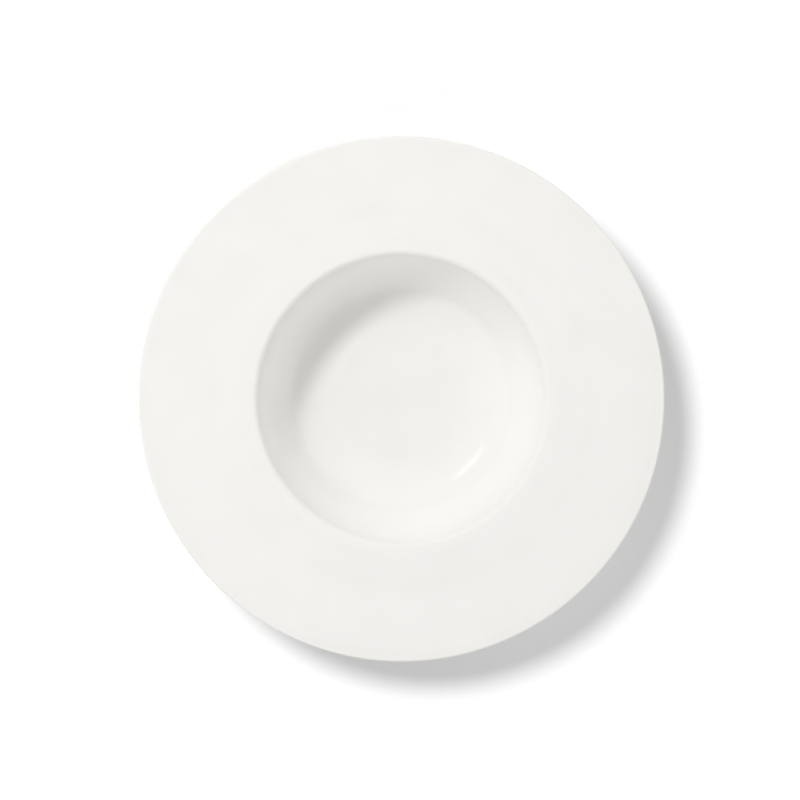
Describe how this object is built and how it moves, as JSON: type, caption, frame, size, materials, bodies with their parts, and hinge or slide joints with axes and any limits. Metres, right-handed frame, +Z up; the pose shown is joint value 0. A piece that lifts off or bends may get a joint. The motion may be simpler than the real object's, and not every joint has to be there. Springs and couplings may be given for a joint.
{
  "type": "rimmed soup plate",
  "caption": "Round white porcelain soup plate with a wide, nearly flat rim, a deep bowl-shaped well and a low foot ring.",
  "frame": {"origin": "centre of the foot ring's face, on the surface that the plate stands on", "axes": "+Z up along the plate's axis of symmetry; X and Y lie in the table's plane and are interchangeable"},
  "size_m": [0.26, 0.26, 0.0499],
  "materials": {
    "fired_porcelain": "bare vitrified porcelain, ground smooth on the foot ring",
    "white_glaze": "clear gloss glaze over warm white porcelain",
    "foot_well_white_glaze": "clear gloss glaze over warm white porcelain, inside the foot ring"
  },
  "bodies": {
    "root": {"porcelain_body": "fired_porcelain", "outer_glaze": "white_glaze", "foot_well_glaze": "foot_well_white_glaze"}
  },
  "joints": []
}
